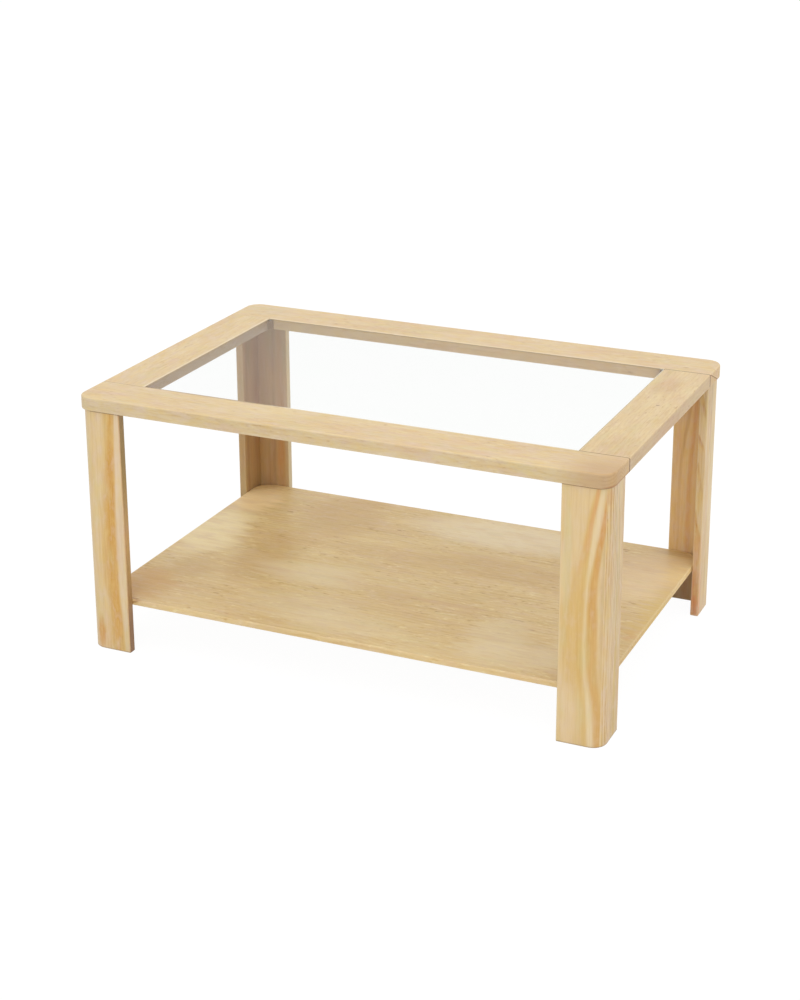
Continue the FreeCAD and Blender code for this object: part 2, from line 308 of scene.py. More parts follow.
def figure(board, level, bands, path, tilt, wander, rings, ring_gap, mottle, dashes, dash_size):
    """How dark the wood is, from 0 to about 1, before it has a colour."""
    g = board.g
    slow, quick = board.noise(210.0, 55.0, 0.0), board.noise(46.0, 16.0, 3.0)
    place = g.total(board.place[board.across], g.times(board.deep, tilt),
                    g.swing(slow, 2 * wander), g.swing(quick, 0.7 * wander))
    if path:
        place = g.minus(place, board.along_grain(path))
    tone = level
    if bands:
        stops = [((mm + BAND_REACH) / (2 * BAND_REACH), value) for mm, value in bands]
        tone = g.ramp(g.spread(place, -BAND_REACH, BAND_REACH), stops)
    if rings:
        ripple = g.swing(board.noise(120.0, 30.0, 5.0), 1.6)
        phase = g.math("FRACT", g.add(g.times(place, 1 / ring_gap), ripple))
        strength = g.spread(board.noise(160.0, 24.0, 9.0), 0.35, 0.65, 0.25 * rings, 1.5 * rings)
        tone = g.add(tone, g.times(g.ramp(phase, RING_PROFILE), strength))
    tone = g.add(tone, g.swing(board.noise(130.0, 26.0, 11.0, detail=3.0), 2 * mottle))
    if dashes:
        flecks = board.noise(*dash_size, 17.0, detail=1.0)
        dark, pale = g.ease(flecks, 0.56, 0.86, 0.0, dashes), g.ease(flecks, 0.44, 0.14, 0.0, -dashes)
        amount = g.spread(board.noise(90.0, 40.0, 37.0), 0.35, 0.65, 0.3, 1.7)
        tone = g.add(tone, g.times(amount, g.add(dark, pale)))
    pores = g.noise(board.drawn_out(0.2, 1.6), board.seed + 2.7)
    return g.add(tone, g.times(board.end_grain, g.spread(pores, 0.3, 0.7, 0.04, 0.26)))


def lay_clouds(board, colour, clouds, ragged):
    """A cloud is (colour, strength, along, across, half length, half width)."""
    g = board.g
    bend_along = g.swing(board.noise(30.0 + ragged, 12.0, 21.0, detail=3.0), ragged)
    bend_across = g.swing(board.noise(24.0, 9.0, 23.0), 7.0)
    for tone, strength, along, across, half_length, half_width in clouds:
        one = g.square(g.times(g.total(board.place[board.grain], bend_along, -along), 1 / half_length))
        two = g.square(g.times(g.total(board.place[board.across], bend_across, -across), 1 / half_width))
        near = g.ease(g.add(one, two), 0.1, 1.2, strength, 0.0)
        colour = g.blend(near, colour, linear(*tone))
    return colour


def lay_streaks(board, colour, streaks, read_at, lean):
    """A streak is (colour, softness of its low side, softness of its high side, rows).

    Each row is (along, across, half width, strength). With a lean, the rows hold on the face at
    read_at, and the streak shifts by lean per mm of depth.
    """
    g = board.g
    across = board.place[board.across]
    if lean:
        across = g.add(across, g.times(g.minus(board.place[board.depth], read_at), lean))
    across = g.total(across, g.swing(board.noise(60.0, 16.0, 25.0), 1.6), g.swing(board.fine, 1.2))
    for tone, soft_low, soft_high, rows in streaks:
        middle, half, strength = (board.along_grain([(row[0], row[part]) for row in rows])
                                  for part in (1, 2, 3))
        from_middle = g.math("DIVIDE", g.minus(across, middle), half)
        rise = g.ease(from_middle, -1.0 - soft_low, -1.0 + soft_low)
        fall = g.ease(from_middle, 1.0 - soft_high, 1.0 + soft_high, 1.0, 0.0)
        colour = g.blend(g.times(g.times(rise, fall), strength), colour, linear(*tone))
    return colour


def drift_hues(board, colour, blush, olive, tinge):
    """Slow drifts to a rosier and a greener hue, and quicker ones to yellow and to pink."""
    g = board.g
    colour = g.blend(g.ease(board.noise(70.0, 20.0, 19.0), 0.46, 0.70, 0.0, blush), colour, ROSY)
    colour = g.blend(g.ease(board.noise(60.0, 18.0, 27.0), 0.48, 0.70, 0.0, olive), colour, GREENISH)
    hue = board.noise(22.0, 9.0, 31.0, detail=3.0, roughness=0.6)
    colour = g.blend(g.spread(hue, 0.50, 0.75, 0.0, tinge), colour, YELLOWISH)
    return g.blend(g.spread(hue, 0.50, 0.25, 0.0, tinge), colour, PINKISH)


def draw_fibres(board, colour, fibre):
    """Dark lines along the grain, and weaker pale ones between them."""
    g = board.g
    lines = g.add(g.times(board.fine, 0.55), g.times(board.medium, 0.45))
    colour = g.darken(g.spread(lines, 0.50, 0.72, 0.0, fibre), colour, LINE_TINT)
    return g.blend(g.spread(lines, 0.50, 0.30, 0.0, 0.6 * fibre), colour, PALE_FIBRE)


def paint_arris_highlights(board, colour, lit_arris):
    """A painted highlight: a pale line on the top face beside the opening, for each (axis, side) of the inner
    face there.
    """
    g = board.g
    for axis, side in lit_arris:
        limit = board.high[axis] if side > 0 else board.low[axis]
        line = g.spread(g.gap(board.place[axis], limit), 2.0, 6.0, 0.45, 0.0)
        line = g.times(line, g.spread(board.normal[Z], 0.6, 0.9))
        other = X + Y - axis
        beside = g.spread(g.size(board.place[other]), OPENING[other] - 1.0, OPENING[other], 1.0, 0.0)
        colour = g.blend(g.times(line, beside), colour, ARRIS_HIGHLIGHT_TONE)
    return colour


def shade_faces(board, colour, inner):
    """Painted shade on the faces that look one way: (axis, side, tint, share)."""
    g = board.g
    for axis, side, shade, share in inner:
        turned = g.spread(g.times(board.normal[axis], side), 0.5, 0.9, 0.0, share)
        colour = g.darken(turned, colour, shade)
    return colour


def shade_joints(board, colour, joints):
    """The dark seams of the butt joints, painted as the shade in their gaps: (place on Y, share at the left,
    share at the right).

    The shade of a seam is wider and deeper on upright faces.
    """
    g = board.g
    upright = g.spread(g.size(board.normal[Z]), 0.3, 0.7, 1.0, 0.0)
    reach = g.add(upright, 1.3)
    outside = g.spread(g.size(board.place[X]), OPENING[X] - 1.0, OPENING[X] + 0.5)
    for place, left_share, right_share in joints:
        share = g.times(g.spread(board.place[X], -100.0, 100.0, left_share, right_share), outside)
        share = g.times(share, g.add(g.times(upright, 0.6), 1.0))
        near = g.ease(g.gap(board.place[Y], place), g.times(reach, 0.3), reach, 1.0, 0.0)
        colour = g.darken(g.least(g.times(near, share), 1.0), colour, SEAM_SHADE_TINT)
    return colour


def shade_ends(board, colour, share):
    """Painted shade: a brown line at the top, where a leg board meets the rail, and a weaker one at the foot.
    """
    g = board.g
    top = g.spread(board.place[Z], board.high[Z] - 2.8, board.high[Z] - 1.6, 0.0, share)
    foot = g.spread(board.place[Z], 1.0, 2.8, 0.6 * share, 0.0)
    return g.darken(g.add(top, foot), colour, SEAM_SHADE_TINT)


def wood(name, node, grain, across, *, seed, tones=PINE_TONES, level=0.25, bands=(), path=(), tilt=0.25,
         wander=3.0, rings=0.0, ring_gap=6.0, mottle=0.16, dashes=0.0, dash_size=(9.0, 0.9),
         clouds=(), ragged=16.0, streaks=(), read_at=0.0, lean=0.0, blush=0.18, olive=0.15, tinge=0.40,
         fibre=0.40, fibre_length=34.0, extra=None, lit_arris=(), inner=(), joints=(), ends_dark=0.0):
    """Pine with its own run of growth rings. Lengths are in mm.

    grain is the axis that the fibres follow, and across the axis that the bands cross.
    tones are the colours from pale to dark, and level is where on them the plain wood lies.
    bands holds the tone at distances from a line, and path that line's (place along, place across).
    tilt is how far the rings shift per mm of depth, and wander how far they sway.
    rings is the strength of the growth lines, which lie ring_gap apart.
    mottle is the strength of the soft patches, and dashes that of flecks of dash_size.
    clouds and streaks follow the photo: see lay_clouds and lay_streaks. ragged frays the clouds' ends.
    blush, olive and tinge are the strengths of the drifts of hue: see drift_hues.
    fibre is the strength of the fibres, which are fibre_length long.
    extra is a function of (g, colour, place, normal) that adds what only this piece has.
    lit_arris, inner, joints and ends_dark are its painted highlights and painted shade: see the functions
    above.
    """
    made, g, output = new_material(name)
    board = Board(g, node, grain, across, seed, fibre_length)
    tone = figure(board, level, bands, path, tilt, wander, rings, ring_gap, mottle, dashes, dash_size)
    colour = g.ramp(g.most(tone, 0.0), tones, kind="LINEAR")
    if clouds:
        colour = lay_clouds(board, colour, clouds, ragged)
    if streaks:
        colour = lay_streaks(board, colour, streaks, read_at, lean)
    colour = drift_hues(board, colour, blush, olive, tinge)
    colour = draw_fibres(board, colour, fibre)
    colour = g.blend(g.times(board.worn, 0.25), colour, WORN_TONE)
    if extra:
        colour = extra(g, colour, board.place, board.normal)
    colour = paint_arris_highlights(board, colour, lit_arris)
    colour = shade_faces(board, colour, inner)
    if joints:
        colour = shade_joints(board, colour, joints)
    if ends_dark:
        colour = shade_ends(board, colour, ends_dark)

    rough = g.total(WOOD_ROUGHNESS, g.swing(board.medium, 0.16), g.times(board.end_grain, 0.16),
                    g.times(board.worn, -0.05))
    height = g.total(g.times(board.fine, 0.5), g.times(board.medium, 0.5), g.times(tone, 0.35))
    g.feed(output.inputs[0], g.shader("BsdfPrincipled", {
        "Base Color": colour, "Roughness": rough, "Normal": g.bump(height, *WOOD_BUMP), **LACQUER}))
    return made


def dress(node, material):
    """Gives a carried-over node its material."""
    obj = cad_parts[node]
    obj.data.materials.clear()
    obj.data.materials.append(material)
    for face in obj.data.polygons:
        face.material_index = 0


# The two long rails and the two short ones: pale, with faint lengthwise grain.
RAIL_TONES = (
    (0.00, linear(226, 202, 154)),
    (0.30, linear(219, 191, 143)),
    (0.60, linear(207, 175, 127)),
    (1.00, linear(180, 142, 94)),
)
RAIL_LOOK = dict(
    tones=RAIL_TONES, level=0.20, rings=0.18, ring_gap=7.0, mottle=0.42, dashes=0.5, dash_size=(12.0, 4.0),
    tilt=0.9, wander=9.0, blush=0.5, olive=0.30, tinge=0.7, fibre_length=13.0)


def back_rail_end(g, colour, place, normal):
    """The right end has a dark slanting line, and below it a darker, rosier corner.

    The inner face is a little darker and greyer towards the left, and has painted shade in the corner beside
    the corner block at the right.
    """
    inward = g.spread(normal[Y], -0.5, -0.9)
    to_left = g.spread(place[X], -60.0, -330.0)
    colour = g.darken(g.times(inward, to_left), colour, tint(0.88, 0.91, 0.91))
    # Painted shade in the corner beside the corner block.
    corner = g.ease(place[X], 352.0, 366.0, 0.0, 0.8)
    colour = g.darken(g.times(inward, corner), colour, tint(0.62, 0.54, 0.48))

    end = g.spread(normal[X], 0.6, 0.9)
    rise = g.times(g.minus(place[Z], 440.0), 2.2)
    from_line = g.add(g.minus(place[Y], SEAM_PLACE), rise)
    below = g.spread(from_line, -2.0, 2.0, 0.30, 0.0)
    colour = g.darken(g.times(end, below), colour, tint(0.78, 0.62, 0.52))
    line = g.ease(g.size(from_line), 0.6, 3.2, 0.85, 0.0)
    return g.darken(g.times(end, line), colour, tint(0.34, 0.22, 0.12))


def front_rail_corner(g, colour, place, normal):
    """The right front corner is tanner, with thin ring lines that follow its round.

    The left part of the top face has a thin painted shade beside the pane, and the right end a
    painted brown shadow line along its lower edge.
    """
    from_corner = g.math("SQRT", g.add(g.square(g.minus(place[X], 418.0)),
                                       g.square(g.minus(place[Y], -262.0))))
    near = g.times(g.ease(place[X], 340.0, 430.0), g.spread(place[Y], -225.0, -262.0, 0.3, 1.0))
    colour = g.blend(g.times(near, 0.78), colour, linear(196, 158, 110))
    wave = g.math("SINE", g.times(g.total(from_corner, g.times(place[Z], 0.6)), 1.9))
    thin = g.times(g.times(g.spread(wave, 0.0, 1.0), g.spread(normal[X], 0.1, 0.5)), 0.22)
    colour = g.darken(thin, colour, tint(0.66, 0.50, 0.36))
    # Painted shade beside the pane, and below, a painted shadow line under the right end.
    pane_shade = g.times(g.spread(place[Y], -218.5, -217.0), g.spread(normal[Z], 0.2, 0.6))
    left_part = g.times(g.spread(place[X], -330.0, -290.0), g.spread(place[X], -160.0, -120.0, 1.0, 0.0))
    colour = g.darken(g.times(g.times(pane_shade, left_part), 0.75), colour, tint(0.52, 0.50, 0.48))
    shadow_line = g.times(g.spread(place[Z], 421.5, 419.0, 0.0, 0.7), g.spread(normal[X], 0.3, 0.8))
    return g.darken(shadow_line, colour, tint(0.66, 0.40, 0.26))


# On the rails, the tints of faces that look one way and the shade in the seams are painted shade, and the
# pale lines beside the opening are painted highlights.
dress("front_rail", wood(
    "pine front rail", "front_rail", X, Y, seed=1.3, extra=front_rail_corner,
    joints=((-SEAM_PLACE, 0.45, 0.85),), inner=((Y, -1, tint(0.90, 0.93, 1.0), 1.0),),
    clouds=(((214, 186, 146), 0.6, 200, -282, 90, 9),), **RAIL_LOOK))
dress("back_rail", wood(
    "pine back rail", "back_rail", X, Y, seed=2.9, extra=back_rail_end,
    joints=((SEAM_PLACE, 0.08, 0.95),), inner=((Y, -1, tint(0.91, 0.845, 0.765), 1.0),),
    lit_arris=((Y, -1),), clouds=(((212, 190, 156), 0.6, -400, 262, 60, 30),), **RAIL_LOOK))
dress("left_rail", wood(
    "pine left rail", "left_rail", Y, X, seed=4.2,
    joints=((-SEAM_PLACE, 0.45, 0.45), (SEAM_PLACE, 0.08, 0.08)),
    inner=((X, 1, tint(0.58, 0.52, 0.49), 1.0),), lit_arris=((X, 1),),
    clouds=(((214, 188, 152), 0.6, -190, -408, 40, 40),), **RAIL_LOOK))
# The first cloud is the knot.
dress("right_rail", wood(
    "pine right rail", "right_rail", Y, X, seed=6.6,
    joints=((-SEAM_PLACE, 0.85, 0.85), (SEAM_PLACE, 0.5, 0.5)),
    inner=((X, 1, tint(0.84, 0.79, 0.76), 1.0),),
    clouds=(((140, 96, 60), 0.9, 31, 417, 2.6, 2.6), ((206, 170, 122), 0.8, 128, 400, 50, 22),
            ((226, 204, 156), 0.4, 60, 402, 60, 10), ((206, 172, 124), 0.6, -180, 420, 70, 36)),
    **dict(RAIL_LOOK, tinge=0.35)))

# Leg boards: wide pale early wood with honey-coloured late wood in wavy streaks.
PALE, ROSE_PALE = (228, 207, 164), (223, 199, 164)
HONEY, SOFT_HONEY, AMBER = (206, 158, 82), (212, 174, 102), (205, 152, 64)
ORANGE, RUSSET, SHADE_BROWN, OLIVE = (212, 150, 88), (176, 116, 66), (150, 108, 66), (156, 138, 88)
# The outer face of the two front boards. Their streaks lean, and were read on it.
FRONT_FACE = -293.0


def front_left_end(g, colour, place, normal):
    """The narrow end of the front left board: olive towards the top and brown at the foot, partly its own hue
    and partly painted shade on this inward-looking face.
    """
    end = g.spread(normal[X], 0.5, 0.9)
    foot = g.spread(place[Z], 190.0, 50.0, 0.04, 0.85)
    colour = g.blend(g.times(end, foot), colour, linear(*SHADE_BROWN))
    top = g.spread(place[Z], 210.0, 330.0, 0.0, 0.80)
    return g.blend(g.times(end, top), colour, linear(*OLIVE))


# On the leg boards, the brown lines at the top and the foot and the tints of inward faces are painted shade.
dress("front_right_leg_face", wood(
    "pine front right leg face", "front_right_leg_face", Z, X, seed=11.0, level=0.30, mottle=0.20, fibre=0.28,
    blush=0.1, olive=0.3, read_at=FRONT_FACE, lean=0.3, ends_dark=0.95, tinge=0.3,
    clouds=((SOFT_HONEY, 0.85, 190, 400, 120, 30), (SOFT_HONEY, 0.6, 300, 418, 50, 10),
            ((226, 200, 158), 0.7, 45, 388, 60, 18), ((226, 200, 158), 0.4, 280, 382, 60, 12),
            (SOFT_HONEY, 0.4, 90, 443, 120, 8), ((196, 162, 114), 0.6, 230, 441, 130, 7),
            ((206, 190, 140), 0.5, 300, 384, 110, 8)),
    streaks=((PALE, 0.6, 0.5, ((0, 427, 4, .8), (60, 423, 4, .7), (120, 414, 4, .6), (240, 413, 3.6, .6),
                               (300, 420, 3.5, .65), (360, 429, 3.3, .65), (417, 437, 3, .65))),
             (HONEY, 0.5, 0.5, ((0, 439, 7, .9), (60, 436, 6, .8), (120, 428, 7, .8), (180, 425, 8, .85),
                                (250, 425.5, 6, .9), (300, 430.5, 4.4, 1), (350, 438, 4, 1),
                                (417, 450, 4.4, 1))),
             (SOFT_HONEY, 0.7, 0.5, ((0, 417, 4, .6), (80, 413, 4, .7), (160, 405, 6, .8), (260, 408, 6, .8),
                                     (320, 412.5, 5, .8), (417, 430, 3.4, .9))),
             ((206, 148, 84), 0.6, 0.5, ((0, 425.5, 5, 0), (240, 425.5, 5, .1), (300, 431, 4, .4),
                                         (350, 438, 4, .6), (417, 448, 4.6, .85))),
             (ORANGE, 0.7, 0.4, ((0, 402, 5, 0), (260, 402, 5, .1), (310, 411, 5, .35), (360, 420, 3.4, .5),
                                 (417, 430, 2.6, .7))))))
dress("front_left_leg_face", wood(
    "pine front left leg face", "front_left_leg_face", Z, X, seed=12.0, level=0.28, mottle=0.16,
    blush=0.3, olive=0.3, read_at=FRONT_FACE, lean=0.3, ends_dark=0.95, tinge=0.5,
    inner=((X, 1, tint(0.88, 0.76, 0.62), 0.9),), extra=front_left_end,
    clouds=(((204, 150, 74), 0.95, 30, -427, 34, 9), (ORANGE, 0.6, 96, -396, 26, 4.5),
            (SOFT_HONEY, 0.7, 165, -411, 70, 9), ((222, 178, 116), 0.5, 290, -446, 46, 4),
            (SOFT_HONEY, 0.6, 30, -400, 44, 20)),
    streaks=((ROSE_PALE, 0.6, 0.6, ((0, -378, 4, .5), (100, -381, 5.5, .8), (200, -383, 7, .8),
                                    (300, -381, 6, .9), (417, -378, 4, .9))),
             (SOFT_HONEY, 0.8, 0.5, ((0, -398, 8, .5), (80, -400, 8, .6), (150, -408, 9, .9),
                                     (220, -406, 8, .9), (300, -401, 7, .8), (417, -395, 6.5, .9))),
             (AMBER, 0.75, 0.4, ((0, -391, 9, .85), (60, -394, 9, .9), (110, -397, 9, .9),
                                 (180, -398.5, 9.5, .9), (240, -397.5, 8.5, .95), (300, -395, 8, .95),
                                 (360, -391.5, 6.5, .9), (417, -387.5, 4.6, .75))),
             (RUSSET, 0.5, 0.5, ((0, -373.2, 1.6, .8), (120, -373.2, 1.3, .6), (300, -373.2, 1.3, .7),
                                 (417, -373.4, 1.8, .9))))))
dress("front_right_leg_side", wood(
    "pine front right leg side", "front_right_leg_side", Z, Y, seed=13.0, level=0.06, mottle=0.20,
    rings=1.2, ring_gap=6.0, wander=2.0, blush=0.2, olive=0.3, ends_dark=0.95, tinge=0.6, fibre=0.7,
    clouds=(((204, 152, 98), 0.6, 402, -282, 16, 9), ((218, 187, 140), 0.5, 200, -278, 210, 12),
            ((206, 173, 88), 0.9, 80, -243, 110, 8), ((206, 176, 108), 0.6, 230, -243, 120, 6),
            ((210, 178, 120), 0.7, 150, -233, 200, 9), ((198, 166, 108), 0.7, 26, -252, 34, 9)),
    streaks=(((170, 144, 92), 0.9, 0.9, ((0, -240, 1.2, 0), (240, -240, 1.2, 0), (262, -244, 1.2, .6),
                                         (330, -255, 1.2, .8), (417, -261, 1.2, .5))),
             ((182, 152, 98), 0.9, 0.9, ((0, -236, 1.5, 0), (240, -236, 1.5, 0), (270, -238, 1.5, .6),
                                         (330, -243, 1.5, .7), (417, -249, 1.5, .6))))))
dress("front_left_leg_side", wood(
    "pine front left leg side", "front_left_leg_side", Z, Y, seed=14.0,
    path=((0, -262), (120, -256), (240, -250), (330, -254), (418, -259)),
    bands=((-60, 0.2), (-30, 0.16), (-16, 0.55), (-10, 0.66), (-6, 0.12), (2, 0.22), (16, 0.70),
           (22, 0.74), (27, 0.14), (45, 0.3), (60, 0.2))))
dress("back_right_leg_side", wood(
    "pine back right leg side", "back_right_leg_side", Z, Y, seed=15.0, mottle=0.18, blush=0.3,
    fibre=0.7, rings=0.85, ring_gap=5.5, olive=0.25, tinge=0.6,
    path=((0, 262), (60, 260), (150, 254), (250, 248), (366, 240), (418, 237)),
    bands=((-60, 0.18), (-30, 0.22), (-18, 0.10), (-10, 0.24), (-4, 0.30), (0, 0.04), (4, 0.0),
           (9, 0.20), (13, 0.0), (22, 0.14), (30, 0.0), (60, 0.0)),
    clouds=(((188, 160, 108), 0.6, 392, 240, 44, 28), ((216, 188, 134), 0.4, 255, 226, 80, 9),
            ((206, 156, 112), 0.5, 26, 227, 32, 9), ((214, 156, 96), 0.6, 120, 222, 34, 4),
            ((222, 146, 92), 0.85, 40, 223, 60, 7), ((230, 210, 168), 0.6, 230, 266, 130, 8)),
    streaks=(((172, 134, 84), 0.8, 0.8, ((0, 245, 1.6, 0), (280, 245, 1.6, 0), (300, 245, 1.6, .6),
                                         (350, 247, 1.6, .7), (417, 250, 1.6, .6))),)))


def shaded_board(x_side, y_side, top_share, foot_share):
    """Painted deep shade on the inward faces just under the top frame and under the shelf.

    x_side and y_side are the ways that the inward faces look along X and Y: 1, -1, or 0 for none.
    """
    def extra(g, colour, place, normal):
        inward = g.spread(g.most(g.times(normal[X], x_side), g.times(normal[Y], y_side)), 0.5, 0.9)
        top = g.ease(place[Z], 396.0, 417.0, 0.0, top_share)
        foot = g.spread(place[Z], 79.0, 83.0, foot_share, 0.0)
        return g.darken(g.times(inward, g.most(top, foot)), colour, tint(0.38, 0.28, 0.20))
    return extra


dress("back_right_leg_face", wood(
    "pine back right leg face", "back_right_leg_face", Z, X, seed=16.0, level=0.16, mottle=0.14, blush=0.4,
    olive=0.0, tinge=0.7, extra=shaded_board(-1, -1, 0.8, 0.60),
    inner=((Y, -1, tint(1.0, 0.965, 0.88), 1.0),),
    clouds=(((234, 198, 150), 0.6, 200, 394, 300, 60), ((224, 176, 130), 0.4, 290, 383, 46, 8)),
    streaks=((ORANGE, 0.8, 0.6, ((0, 404, 5, .4), (150, 404, 5, .45), (250, 406, 4, .5), (300, 409, 3, .6),
                                 (417, 414, 3, .3))),
             (RUSSET, 0.7, 0.7, ((0, 390, 2, .1), (220, 388, 2.5, .2), (290, 393, 2.5, .35),
                                 (340, 399, 3, .5), (417, 404, 3, .4))),
             (PALE, 0.7, 0.7, ((0, 397, 3, .5), (280, 399, 2, .4), (417, 392, 2, .2))))))
dress("back_left_leg_face", wood(
    "pine back left leg face", "back_left_leg_face", Z, X, seed=17.0, level=0.32, mottle=0.16, blush=0.3,
    olive=0.3, extra=shaded_board(-1, -1, 0.8, 0.4), inner=((Y, -1, tint(0.74, 0.65, 0.60), 1.0),),
    clouds=(((236, 176, 86), 0.7, 150, -386, 44, 9), ((190, 180, 122), 0.75, 385, -388, 90, 34),
            ((212, 194, 150), 0.9, 140, -373, 170, 2.4), ((206, 184, 136), 0.5, 300, -388, 50, 10),
            ((196, 158, 116), 0.4, 120, -408, 90, 10)),
    streaks=(((212, 162, 92), 0.7, 0.5, ((0, -387, 9, .7), (160, -387, 9, .7), (220, -388, 7, .5),
                                         (417, -385, 6, .4))),
             (PALE, 0.8, 0.8, ((0, -377, 2, .5), (240, -377, 2, .5), (300, -377, 2, .1),
                               (417, -377, 2, 0))),
             ((180, 140, 96), 0.8, 0.8, ((0, -400, 3, .4), (200, -401, 3, .5), (417, -399, 3, .4))))))
dress("back_left_leg_side", wood(
    "pine back left leg side", "back_left_leg_side", Z, Y, seed=18.0, level=0.34, mottle=0.16, blush=0.2,
    olive=0.4, extra=shaded_board(1, 0, 0.7, 0.4),
    inner=((X, 1, tint(0.63, 0.52, 0.42), 1.0), (Y, -1, tint(0.75, 0.68, 0.62), 1.0)),
    clouds=(((196, 156, 100), 0.6, 30, 250, 80, 40), ((186, 174, 114), 0.6, 385, 243, 80, 14),
            ((214, 160, 122), 0.5, 220, 268, 90, 12)),
    streaks=(((226, 194, 146), 0.8, 0.8, ((0, 248, 3, .1), (120, 248, 3, .3), (150, 248, 3.5, .7),
                                          (190, 249, 3, .3), (417, 250, 3, .3))),
             ((186, 144, 98), 0.8, 0.8, ((0, 232, 4, .5), (200, 233, 4, .5), (417, 232, 4, .5))))))

# The shelf: a thin panel with short fine figure along its length and soft clouds of other hues. Some
# clouds are painted light and shade: pale ones along the left edge for light that comes in under the
# left rail, tan ones partly for shade cast by the top frame, and small dark ones beside the legs for
# contact shadow.
SHELF_TONES = (
    (0.00, linear(233, 211, 158)),
    (0.30, linear(221, 192, 136)),
    (0.60, linear(205, 170, 110)),
    (1.00, linear(178, 136, 78)),
)
CREAM, SHADE_TAN, ROSE_TAN = (234, 215, 174), (200, 162, 106), (206, 165, 118)
dress("shelf", wood(
    "pine shelf", "shelf", X, Y, tones=SHELF_TONES, seed=21.0, level=0.28, rings=0.16, ring_gap=9.0,
    fibre=0.26, mottle=0.34, tilt=0.6, wander=9.0, dashes=0.60, dash_size=(13.0, 3.6), blush=0.30,
    olive=0.16, tinge=0.35, fibre_length=14.0, ragged=110.0, inner=((X, 1, tint(1.0, 0.98, 0.88), 1.0),),
    clouds=(((246, 226, 176), 0.95, -392, 30, 66, 130), ((246, 216, 164), 0.9, -396, 195, 56, 66),
            (SHADE_TAN, 0.55, -255, -30, 60, 130), (SHADE_TAN, 0.6, -215, 190, 80, 130),
            (SHADE_TAN, 0.5, 140, 70, 170, 50), (SHADE_TAN, 0.3, -80, 60, 150, 34),
            ((238, 220, 184), 0.85, 100, 215, 210, 70), ((212, 166, 100), 0.7, -395, -210, 66, 70),
            (CREAM, 0.45, -110, -190, 130, 60), (SHADE_TAN, 0.5, -350, -120, 50, 50),
            (SHADE_BROWN, 0.2, -418, 268, 20, 12), (CREAM, 0.6, 230, -180, 60, 100),
            (CREAM, 0.5, -20, -225, 120, 44), (CREAM, 0.6, -150, -70, 120, 50),
            (ROSE_TAN, 0.5, 110, -90, 90, 9), (CREAM, 0.45, 340, -200, 60, 60),
            (ORANGE, 0.5, 425, -80, 12, 26), ((240, 212, 168), 0.65, 380, 150, 90, 130),
            ((220, 188, 112), 0.7, 432, 10, 36, 130), ((240, 210, 150), 0.7, 424, 175, 36, 56),
            ((164, 120, 76), 0.3, 398, 264, 50, 14), (CREAM, 0.45, 270, -215, 90, 50),
            ((158, 96, 66), 0.7, -378, -275, 9, 5))))

# Dowels and splines, hidden in the joints.
for hidden, grain, seed in (("leg_dowels", Z, 31.0), ("rail_dowels", Y, 32.0), ("shelf_dowels", Y, 33.0)):
    dress(hidden, wood("beech " + hidden.replace("_", " "), hidden, grain, X,
                       level=0.45, dashes=0.4, seed=seed))
dress("leg_splines", wood("birch leg splines", "leg_splines", Z, X, level=0.18, rings=0.3,
                          ring_gap=1.0, seed=34.0))


def glass():
    """Clear float glass. Lamps shine through it, weakened as the pane weakens them.

    The ground edge's tone is chosen by place: its normal turns round where it is seen through the pane.
    Elsewhere than the front and the right end, its tone is a painted warm one for the shaded wood seen
    through it.
    """
    made, g, output = new_material("clear glass")
    place = g.node("ShaderNodeTexCoord").outputs["Object"]
    faint = g.noise(place, 3.0, scale=9.0)
    bent = g.shader("BsdfRefraction", {
        "IOR": GLASS_IOR,
        "Color": g.blend(faint, linear(255, 255, 255), linear(254, 255, 254)),
        "Roughness": g.spread(g.noise(place, 8.0, scale=30.0), 0.4, 0.7, 0.0, 0.008)})
    mirrored = g.shader("BsdfGlossy", {"Roughness": 0.0})
    fresnel = g.node("ShaderNodeFresnel", {"IOR": GLASS_IOR}).outputs[0]
    trapped = g.math("GREATER_THAN", fresnel, 0.98)
    surface = g.mix(g.most(g.times(fresnel, GLASS_SHINE), trapped), bent, mirrored)

    at = g.split(place)
    at_front = g.times(g.spread(at[Y], *PALE_TOWARDS_FRONT), g.spread(at[X], *PALE_TOWARDS_RIGHT))
    at_right = g.spread(at[X], *PALE_RIGHT_END)
    # A painted tone: the shaded wood seen through the ground edge.
    warm = g.blend(faint, linear(188, 166, 136), linear(180, 158, 126))
    pale = g.blend(faint, linear(242, 238, 224), linear(234, 230, 214))
    ground = g.shader("BsdfPrincipled", {
        "Base Color": g.blend(g.most(at_front, at_right), warm, pale), "Roughness": 0.5})
    flat = g.size(g.split(g.node("ShaderNodeTexCoord").outputs["Normal"])[Z])
    finished = g.mix(g.spread(flat, 0.9, 0.96, 1.0, 0.0), surface, ground)

    clear = g.shader("BsdfTransparent", {"Color": GLASS_SHADOW})
    ray = g.node("ShaderNodeLightPath").outputs
    g.feed(output.inputs[0], g.mix(g.most(ray["Is Shadow Ray"], ray["Is Diffuse Ray"]), finished, clear))
    return made


def silicone():
    """Clear soft pads under the pane."""
    made, g, output = new_material("clear silicone")
    place = g.node("ShaderNodeTexCoord").outputs["Object"]
    cloud = g.noise(place, 4.0, scale=400.0)
    g.feed(output.inputs[0], g.shader("BsdfPrincipled", {
        "Base Color": g.blend(cloud, linear(226, 228, 224), linear(208, 212, 208)),
        "Roughness": g.spread(cloud, 0.3, 0.7, 0.28, 0.45),
        "Transmission Weight": 0.6, "IOR": 1.42}))
    return made


